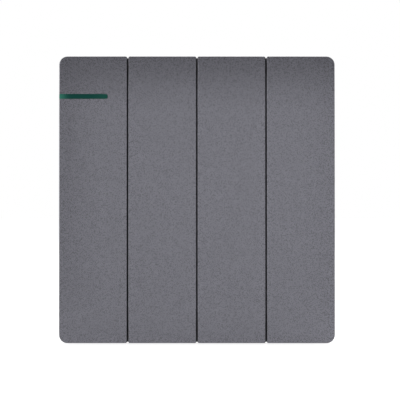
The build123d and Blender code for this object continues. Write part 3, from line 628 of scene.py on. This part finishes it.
def islands(node):
    """Lowest and highest corners of each separate solid of a node."""
    bm = bmesh.new()
    bm.from_mesh(NODES[node].data)
    bmesh.ops.remove_doubles(bm, verts=bm.verts, dist=MERGE_DISTANCE)
    todo = set(bm.verts)
    boxes = []
    while todo:
        found = [todo.pop()]
        for vert in found:
            for edge in vert.link_edges:
                other = edge.other_vert(vert)
                if other in todo:
                    todo.remove(other)
                    found.append(other)
        low = Vector([min(vert.co[axis] for vert in found) for axis in range(3)])
        high = Vector([max(vert.co[axis] for vert in found) for axis in range(3)])
        boxes.append((low, high))
    bm.free()
    return sorted(boxes, key=lambda box: tuple(box[0]))


def raised_text(bm, body, height, relief, place):
    """Adds raised lettering to a bmesh, standing on Z = 0 of its place."""
    capital_share = 0.7
    bevel = 0.2 * relief
    curve = bpy.data.curves.new("mark", "FONT")
    curve.body = body
    curve.size = height / capital_share
    curve.align_x = "CENTER"
    curve.align_y = "CENTER"
    curve.extrude = relief / 2 - bevel
    curve.bevel_depth = bevel
    curve.bevel_resolution = 1
    curve.resolution_u = 4
    text = add("mark", curve)
    mesh = evaluated_mesh(text)
    mesh.transform(place @ Matrix.Translation((0, 0, relief / 2)))
    bm.from_mesh(mesh)
    bpy.data.objects.remove(text)
    bpy.data.curves.remove(curve)
    bpy.data.meshes.remove(mesh)


# Operators


class SWITCH_OT_rocker_caps(bpy.types.Operator):
    """Paints the four rocker caps"""

    bl_idname = "switch.rocker_caps"
    bl_label = "Rocker caps"

    def execute(self, context):
        give(painted_face(), *numbered("rocker_cap"))
        return {"FINISHED"}


class SWITCH_OT_locator_strip(bpy.types.Operator):
    """Tints the locator strip"""

    bl_idname = "switch.locator_strip"
    bl_label = "Locator strip"

    def execute(self, context):
        give(locator_lens(), "locator_strip")
        return {"FINISHED"}


class SWITCH_OT_mouldings(bpy.types.Operator):
    """Gives the frame, the carriers and the cover their moulded plastics"""

    bl_idname = "switch.mouldings"
    bl_label = "Frame, carriers and cover"

    def execute(self, context):
        rim = moulded("frame_plastic", colours().rim, 0.55, grain_size=0.22 * MM, grain_depth=0.008 * MM)
        works = moulded("dark_plastic", colours().works, 0.5, grain_size=0.28 * MM, grain_depth=0.006 * MM)
        give(rim, "front_frame")
        give(works, "housing_cover", *numbered("rocker_carrier"))
        return {"FINISHED"}


class SWITCH_OT_plungers(bpy.types.Operator):
    """Gives the plungers their nylon"""

    bl_idname = "switch.plungers"
    bl_label = "Plungers"

    def execute(self, context):
        give(turned_nylon(), *numbered("plunger"))
        return {"FINISHED"}


class SWITCH_OT_springs(bpy.types.Operator):
    """Winds a round-wire spring behind each plunger"""

    bl_idname = "switch.springs"
    bl_label = "Plunger springs"

    end_turns = 1.0
    active_turns = 3.5
    sharp_degrees = 50

    def execute(self, context):
        details = context.scene.switch_details
        steel = drawn_steel()
        for gang in GANGS:
            node = f"plunger_spring_{gang}"
            slide = JOINTS[f"plunger_{gang}_slide"]
            direction = Vector(slide["axis"]).normalized()
            if direction.y < 0:
                direction = -direction
            low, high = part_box(node)
            pivot = Vector(JOINTS[f"rocker_{gang}_tilt"]["pos_m"])
            origin = Vector(((low.x + high.x) / 2, pivot.y, pivot.z))
            near, far = reach_along(node, origin, direction)
            end_rise = self.end_turns * details.wire
            active_rise = far - near - details.wire - 2 * end_rise
            end, active = (self.end_turns, end_rise), (self.active_turns, active_rise)
            bm = bmesh.new()
            coil(bm, details.coil, details.wire, (end, active, end))
            start = origin + direction * (near + details.wire / 2)
            bmesh.ops.transform(bm, matrix=frame_along(start, direction), verts=bm.verts)
            made = piece(f"coil_spring_{gang}", bm, steel, f"rocker_{gang}")
            smooth_by_angle(made, self.sharp_degrees)
            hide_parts(node)
            keep = 1 - max(abs(limit) for limit in slide["range_m"]) / (far - near)
            anchor = origin + direction * near
            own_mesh(made)
        return {"FINISHED"}


class SWITCH_OT_contacts(bpy.types.Operator):
    """Gives the blades, strips and rivets their metals"""

    bl_idname = "switch.contacts"
    bl_label = "Contacts"

    def execute(self, context):
        strips = numbered("moving_contact", "fixed_contact", "load_terminal")
        give(rolled_brass(), "line_bar", "line_terminal", *strips)
        give(struck_silver(), *numbered("moving_rivet", "fixed_rivet"))
        return {"FINISHED"}


class ScrewCutter:
    """What the operators that cut screws share. Each one gives the sizes of its own screw."""

    slot_width = 0.7 * MM
    sharp_degrees = 35

    def cut(self, profile, head, core, pitch):
        """Turned, slotted and threaded screw that stands on Z = 0 with its head up."""
        length = profile[0][1]
        under = length - self.head_height
        bm = bmesh.new()
        turned(bm, profile)
        slotted(bm, self.slot_width, self.slot_depth, length, 2 * head)
        threaded(bm, core, self.shank, pitch, under - self.edge, under - 2 * self.edge)
        return bm


class SWITCH_OT_clamp_screws(ScrewCutter, bpy.types.Operator):
    """Cuts the five threaded clamp screws"""

    bl_idname = "switch.clamp_screws"
    bl_label = "Clamp screws"

    head_height = 1.6 * MM
    slot_depth = 0.8 * MM
    shank = 1.6 * MM
    edge = 0.22 * MM

    def execute(self, context):
        details = context.scene.switch_details
        boxes = islands("clamp_screws")
        low, high = boxes[0]
        length = high.z - low.z
        head = (high.x - low.x) / 2
        core = self.shank - details.thread_depth
        under = length - self.head_height
        profile = (
            (0, length),
            (head - self.edge, length),
            (head, length - self.edge),
            (head, under),
            (core, under),
            (core, self.edge),
            (core - self.edge, 0),
            (0, 0),
        )
        bm = self.cut(profile, head, core, details.thread_pitch)
        places = [self.place(low, high) for low, high in boxes]
        made = piece("clamp_screw_set", spread(bm, places), zinc_plate(), "base")
        smooth_by_angle(made, self.sharp_degrees)
        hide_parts("clamp_screws")
        return {"FINISHED"}

    def place(self, low, high):
        """Place of the screw in a box, with its head away from the middle of the switch."""
        middle = (low + high) / 2
        upright = middle.z > 0
        start = Vector((middle.x, middle.y, low.z if upright else high.z))
        return Matrix.Translation(start) @ Matrix.Rotation(0 if upright else math.pi, 4, "Y")


class SWITCH_OT_cover_screws(ScrewCutter, bpy.types.Operator):
    """Cuts the four threaded countersunk cover screws"""

    bl_idname = "switch.cover_screws"
    bl_label = "Cover screws"

    head_height = 1.15 * MM
    slot_depth = 0.7 * MM
    shank = 1.25 * MM
    edge = 0.12 * MM
    thread_share = 0.8
    first_turn = 20
    next_turn = 65

    def execute(self, context):
        details = context.scene.switch_details
        boxes = islands("cover_screws")
        low, high = boxes[0]
        length = high.y - low.y
        head = (high.x - low.x) / 2
        core = self.shank - self.thread_share * details.thread_depth
        under = length - self.head_height
        profile = (
            (0, length),
            (head - self.edge, length),
            (head, length - self.edge),
            (self.shank, under),
            (core, under - self.edge),
            (core, 2 * self.edge),
            (core - self.edge, 0),
            (0, 0),
        )
        bm = self.cut(profile, head, core, details.thread_pitch)
        places = [self.place(index, low, high) for index, (low, high) in enumerate(boxes)]
        made = piece("cover_screw_set", spread(bm, places), black_plate(), "base")
        smooth_by_angle(made, self.sharp_degrees)
        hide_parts("cover_screws")
        return {"FINISHED"}

    def place(self, index, low, high):
        """Place of the screw in a box, with its head to the front and its slot as it was left."""
        middle = (low + high) / 2
        turn = math.radians(self.first_turn + self.next_turn * index)
        start = Vector((middle.x, high.y, middle.z))
        return frame_along(start, (0, -1, 0)) @ Matrix.Rotation(turn, 4, "Z")


class SWITCH_OT_housing(bpy.types.Operator):
    """Gives the housing its plastic and its raised terminal marks"""

    bl_idname = "switch.housing"
    bl_label = "Housing and marks"

    mark_drop = 6.4 * MM
    gauge_width = 1.6 * MM
    gauge_line = 0.3 * MM
    sunk = 0.02 * MM
    sharp_degrees = 30

    def execute(self, context):
        details = context.scene.switch_details
        plastic = moulded(
            "housing_plastic", colours().housing, 0.5, grain_size=0.25 * MM, grain_depth=0.01 * MM
        )
        give(plastic, "switch_housing")
        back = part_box("switch_housing")[1].y - self.sunk
        labels = {"line_terminal": "L", **{f"load_terminal_{gang}": str(gang) for gang in GANGS}}
        bm = bmesh.new()
        for node, label in labels.items():
            low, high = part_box(node)
            middle = (low + high) / 2
            drop = -self.mark_drop if middle.z > 0 else self.mark_drop
            spot = Vector((middle.x, back, middle.z + drop))
            raised_text(bm, label, details.mark_height, details.mark_relief, self.facing_back(spot))
        self.strip_gauge(bm, details, self.facing_back(Vector((0, back, 0))))
        made = piece("terminal_marks", bm, plastic, "base")
        smooth_by_angle(made, self.sharp_degrees)
        return {"FINISHED"}

    def facing_back(self, spot):
        """Place on the back of the housing, read from behind."""
        upright = Matrix.Rotation(math.pi, 4, "Z") @ Matrix.Rotation(math.pi / 2, 4, "X")
        return Matrix.Translation(spot) @ upright

    def strip_gauge(self, bm, details, place):
        """Outlined bar as long as the bare end of a wire."""
        size = Matrix.Diagonal((details.gauge_length, self.gauge_width, 1, 1))
        grid = bmesh.ops.create_grid(bm, x_segments=1, y_segments=1, size=0.5, matrix=size)
        inner = list({face for vert in grid["verts"] for face in vert.link_faces})
        inset = bmesh.ops.inset_region(
            bm, faces=inner, thickness=self.gauge_line, use_boundary=True, use_even_offset=True
        )
        bmesh.ops.delete(bm, geom=inner, context="FACES_ONLY")
        base = {vert for face in inset["faces"] for vert in face.verts}
        grown = bmesh.ops.extrude_face_region(bm, geom=inset["faces"])
        tops = {part for part in grown["geom"] if isinstance(part, bmesh.types.BMVert)}
        bmesh.ops.translate(bm, verts=list(tops), vec=(0, 0, details.mark_relief))
        bmesh.ops.transform(bm, matrix=place, verts=list(base | tops))


class SWITCH_OT_bracket(bpy.types.Operator):
    """Gives the mounting bracket its galvanised steel"""

    bl_idname = "switch.bracket"
    bl_label = "Mounting bracket"

    def execute(self, context):
        give(galvanised_sheet(), "mounting_bracket")
        return {"FINISHED"}


class SWITCH_OT_stage(bpy.types.Operator):
    """Sets up the floor, the studio light and the camera"""

    bl_idname = "switch.stage"
    bl_label = "Stage"

    sensor = 36.0
    view_shift = Vector((0.96 * MM, 0, 0))
    floor_reach = 6.0
    floor_gap = 0.3 * MM
    dim_until = -0.5
    bright_from = 0.2
    left_place = Vector((-1.1, -0.75, 0.34))
    right_place = Vector((1.1, -0.75, 0.34))
    side_size = (1.4, 0.7)
    rear_place = Vector((0.6, 0.95, 1.25))
    rear_size = (1.4, 1.1)
    panel_place = Vector((0.08, -1.6, 0.157))
    panel_size = (0.54, 0.25)

    def execute(self, context):
        stage = context.scene.switch_stage
        self.floor(stage)
        self.world(stage)
        self.lamps(stage)
        self.camera(stage)
        context.scene.view_settings.view_transform = "Standard"
        return {"FINISHED"}

    def floor(self, stage):
        bm = bmesh.new()
        place = Matrix.Translation((0, 0, CAD_BOX[0].z - self.floor_gap))
        bmesh.ops.create_grid(bm, x_segments=1, y_segments=1, size=self.floor_reach, matrix=place)
        made = add("studio_floor", as_mesh("studio_floor", bm))
        bm.free()
        made.data.materials.append(self.floor_finish(stage))

    def floor_finish(self, stage):
        """Matt white that the camera sees a little lifted, with the object's shadow kept."""
        material = bpy.data.materials.new("studio_floor")
        material.use_nodes = True
        finish = Finish(material.node_tree)
        finish.tree.nodes.clear()
        camera, sent_on = self.rays(finish)
        shown = camera.larger(sent_on) * stage.floor_lift
        matt = finish.node("ShaderNodeBsdfDiffuse", None, {"Color": rgba(stage.floor)})
        lift = finish.node("ShaderNodeEmission", None, {"Color": WHITE, "Strength": shown})
        both = finish.node("ShaderNodeAddShader", None, {0: matt, 1: lift})
        finish.node("ShaderNodeOutputMaterial", None, {"Surface": both}, None)
        return material

    def rays(self, finish):
        """1 for a ray from the camera, and 1 for a ray that metal or glass sends on."""
        path = finish.node("ShaderNodeLightPath").socket.node.outputs
        names = ("Is Camera Ray", "Is Glossy Ray", "Is Transmission Ray")
        camera, glossy, through = [Value(finish, path[name]) for name in names]
        return camera, glossy.larger(through)

    def world(self, stage):
        """White to the camera. Gloss sees it white behind the switch and dim in front."""
        world = bpy.data.worlds.new("studio")
        bpy.context.scene.world = world
        world.use_nodes = True
        finish = Finish(world.node_tree)
        finish.tree.nodes.clear()
        camera, sent_on = self.rays(finish)
        depth = finish.axes(finish.node("ShaderNodeTexCoord", output="Generated"))[1]
        gloss = stage.dim + (1 - stage.dim) * depth.between(self.dim_until, self.bright_from)
        room = stage.ambient + sent_on * (gloss - stage.ambient)
        light = {"Color": WHITE, "Strength": camera.larger(room)}
        shader = finish.node("ShaderNodeBackground", None, light)
        finish.node("ShaderNodeOutputWorld", None, {"Surface": shader}, None)

    def lamps(self, stage):
        face = Vector((0, CAD_BOX[0].y, 0))
        front, back = Vector((0, -1, 0)), Vector((0, 1, 0))
        self.lamp("left_light", stage.left, self.left_place, face, front, self.side_size)
        self.lamp("right_light", stage.right, self.right_place, face, front, self.side_size)
        self.lamp("rear_light", stage.rear, self.rear_place, Vector(), back, self.rear_size)
        width, height = self.panel_size
        glow = stage.panel * math.pi * width * height
        ahead = Vector((self.panel_place.x, 0, self.panel_place.z))
        self.panel("front_panel", glow, self.panel_place, ahead, self.panel_size)

    def lamp(self, name, share, place, aim, facing, size):
        """Soft light that gives a surface a share of the level at which a colour looks as it is written."""
        way = place - aim
        energy = share * math.pi**2 * way.length_squared / way.normalized().dot(facing)
        self.panel(name, energy, place, aim, size)

    def panel(self, name, energy, place, aim, size):
        data = bpy.data.lights.new(name, "AREA")
        data.shape = "RECTANGLE"
        data.size, data.size_y = size
        data.energy = energy
        made = add(name, data)
        made.location = place
        made.rotation_mode = "QUATERNION"
        made.rotation_quaternion = (aim - place).to_track_quat("-Z", "Y")

    def camera(self, stage):
        data = bpy.data.cameras.new("camera")
        data.sensor_width = self.sensor
        data.lens = self.sensor * stage.distance / stage.view_width
        made = add("camera", data)
        made.location = Vector((0, CAD_BOX[0].y - stage.distance, 0)) + self.view_shift
        made.rotation_euler = (math.pi / 2, 0, 0)
        bpy.context.scene.camera = made


class SWITCH_PT_panel(bpy.types.Panel):
    """Lists the steps that dress the switch"""

    bl_idname = "SWITCH_PT_panel"
    bl_label = "Rocker switch"
    bl_space_type = "VIEW_3D"
    bl_region_type = "UI"
    bl_category = "Switch"

    def draw(self, context):
        for operator in OPERATORS:
            self.layout.operator(operator.bl_idname)
        for group, pointer in GROUPS.items():
            settings = getattr(context.scene, pointer)
            for name in group.__annotations__:
                self.layout.prop(settings, name)


GROUPS = {
    SwitchColours: "switch_colours",
    SwitchDetails: "switch_details",
    SwitchStage: "switch_stage",
}
OPERATORS = (
    SWITCH_OT_rocker_caps,
    SWITCH_OT_locator_strip,
    SWITCH_OT_mouldings,
    SWITCH_OT_plungers,
    SWITCH_OT_springs,
    SWITCH_OT_contacts,
    SWITCH_OT_cover_screws,
    SWITCH_OT_clamp_screws,
    SWITCH_OT_housing,
    SWITCH_OT_bracket,
    SWITCH_OT_stage,
)


def register():
    for kind in (*GROUPS, *OPERATORS, SWITCH_PT_panel):
        bpy.utils.register_class(kind)
    for group, name in GROUPS.items():
        setattr(bpy.types.Scene, name, bpy.props.PointerProperty(type=group))


def unregister():
    for name in GROUPS.values():
        delattr(bpy.types.Scene, name)
    for kind in reversed((*GROUPS, *OPERATORS, SWITCH_PT_panel)):
        bpy.utils.unregister_class(kind)


def main():
    register()
    for operator in OPERATORS:
        family, name = operator.bl_idname.split(".")
        getattr(getattr(bpy.ops, family), name)()


if __name__ == "__main__":
    main()
